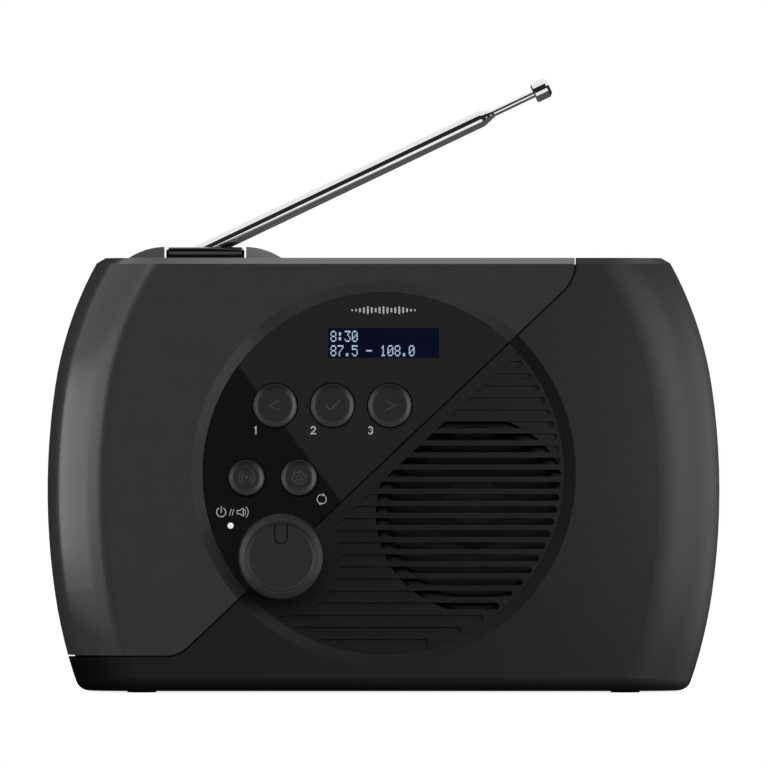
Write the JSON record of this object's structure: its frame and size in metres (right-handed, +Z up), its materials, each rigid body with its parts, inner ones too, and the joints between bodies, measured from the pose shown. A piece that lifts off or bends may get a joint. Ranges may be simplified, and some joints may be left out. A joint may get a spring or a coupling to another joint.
{
  "type": "tabletop radio",
  "caption": "Portable tabletop radio with a round control panel, slotted speaker grille, turning push knob, press buttons, hinged battery door and a telescopic antenna.",
  "frame": {"origin": "on the table, under the middle of the radio", "axes": "+X to the right of the radio as it is faced, -Y the front, +Z up"},
  "size_m": [0.22, 0.072, 0.2013],
  "materials": {
    "anthracite_plastic": "satin anthracite moulding with a fine grain",
    "black_plastic": "matte black moulding with a fine grain",
    "grille_plastic": "matte black",
    "gloss_black": "polished black",
    "button_plastic": "satin black with printed marks",
    "knob_plastic": "satin black, knurled side",
    "clear_window": "polished",
    "display_glass": "polished, dark blue",
    "white_plastic": "satin white",
    "circuit_board": "green solder resist",
    "chrome": "polished",
    "rubber": "matte",
    "steel": "zinc plated",
    "ferrite": "matte dark grey",
    "paper": "matte black",
    "foam": "matte",
    "copper": "lacquered wire",
    "cloth": "impregnated cloth",
    "socket_plastic": "matte",
    "capacitor": "sleeved",
    "cable": "flat cable"
  },
  "bodies": {
    "root": {"front_housing": "black_plastic", "front_cover": "anthracite_plastic", "rear_housing": "black_plastic", "control_panel": "gloss_black", "speaker_grille": "grille_plastic", "display_window": "clear_window", "display_glass": "display_glass", "display_backlight": "white_plastic", "light_pipe": "white_plastic", "standby_lamp": "white_plastic", "key_board": "circuit_board", "board_screws": "steel", "key_switches": "socket_plastic", "encoder_body": "steel", "speaker_gasket": "foam", "speaker_frame": "steel", "speaker_surround": "foam", "speaker_cone": "paper", "speaker_dust_cap": "paper", "voice_coil": "copper", "speaker_spider": "cloth", "speaker_magnet": "ferrite", "speaker_pole_plates": "steel", "speaker_screws": "steel", "main_board": "circuit_board", "tuner_module": "steel", "capacitors": "capacitor", "power_socket": "socket_plastic", "headphone_socket": "socket_plastic", "ribbon_cable": "cable", "ribbon_connectors": "white_plastic", "battery_tray": "black_plastic", "battery_contacts": "steel", "battery_springs": "steel", "housing_screws": "steel", "rubber_feet": "rubber", "cradle_screws": "steel", "antenna_cradle": "anthracite_plastic"},
    "volume_rotor": {"encoder_rotor": "socket_plastic"},
    "volume_push": {"encoder_shaft": "steel", "volume_knob": "knob_plastic"},
    "battery_door": {"battery_door": "black_plastic"},
    "antenna_turret": {"antenna_barrel": "gloss_black", "antenna_pivot_screw": "steel"},
    "antenna_mast": {"antenna_mast": "chrome"},
    "antenna_middle": {"antenna_middle_tube": "chrome"},
    "antenna_inner": {"antenna_inner_tube": "chrome"},
    "antenna_top": {"antenna_rod": "chrome", "antenna_tip": "chrome"},
    "previous_key": {"previous_button": "button_plastic", "previous_plunger": "socket_plastic"},
    "confirm_key": {"confirm_button": "button_plastic", "confirm_plunger": "socket_plastic"},
    "next_key": {"next_button": "button_plastic", "next_plunger": "socket_plastic"},
    "source_key": {"source_button": "button_plastic", "source_plunger": "socket_plastic"},
    "menu_key": {"menu_button": "button_plastic", "menu_plunger": "socket_plastic"}
  },
  "joints": [
    {"name": "volume_turn", "type": "hinge", "parent": "root", "child": "volume_rotor", "pos_m": [-0.0334, 0, 0.0444], "axis": [0, 1, 0], "continuous": true},
    {"name": "volume_press", "type": "slide", "parent": "volume_rotor", "child": "volume_push", "axis": [0, 1, 0], "range_m": [0, 0.0008], "stiffness_N_per_m": 1500, "springref_m": -0.0004},
    {"name": "previous_press", "type": "slide", "parent": "root", "child": "previous_key", "axis": [0, 1, 0], "range_m": [0, 0.0005], "stiffness_N_per_m": 1500, "springref_m": -0.0003},
    {"name": "confirm_press", "type": "slide", "parent": "root", "child": "confirm_key", "axis": [0, 1, 0], "range_m": [0, 0.0005], "stiffness_N_per_m": 1500, "springref_m": -0.0003},
    {"name": "next_press", "type": "slide", "parent": "root", "child": "next_key", "axis": [0, 1, 0], "range_m": [0, 0.0005], "stiffness_N_per_m": 1500, "springref_m": -0.0003},
    {"name": "source_press", "type": "slide", "parent": "root", "child": "source_key", "axis": [0, 1, 0], "range_m": [0, 0.0005], "stiffness_N_per_m": 1500, "springref_m": -0.0003},
    {"name": "menu_press", "type": "slide", "parent": "root", "child": "menu_key", "axis": [0, 1, 0], "range_m": [0, 0.0005], "stiffness_N_per_m": 1500, "springref_m": -0.0003},
    {"name": "battery_door_open", "type": "hinge", "parent": "root", "child": "battery_door", "pos_m": [0.02, 0.0349, 0.0214], "axis": [-1, 0, 0], "range_deg": [0, 100]},
    {"name": "antenna_lean", "type": "hinge", "parent": "root", "child": "antenna_turret", "pos_m": [-0.05865, 0.028, 0.1379], "axis": [-1, 0, 0], "range_deg": [0, 90]},
    {"name": "antenna_tilt", "type": "hinge", "parent": "antenna_turret", "child": "antenna_mast", "pos_m": [-0.0639, 0.031, 0.1423], "axis": [0, -1, 0], "range_deg": [-25.5, 64.5]},
    {"name": "middle_slide", "type": "slide", "parent": "antenna_mast", "child": "antenna_middle", "axis": [0.9026, 0, 0.4305], "range_m": [0, 0.085]},
    {"name": "inner_slide", "type": "slide", "parent": "antenna_middle", "child": "antenna_inner", "axis": [0.9026, 0, 0.4305], "range_m": [0, 0.085]},
    {"name": "top_slide", "type": "slide", "parent": "antenna_inner", "child": "antenna_top", "axis": [0.9026, 0, 0.4305], "range_m": [-0.0144, 0.078]}
  ]
}
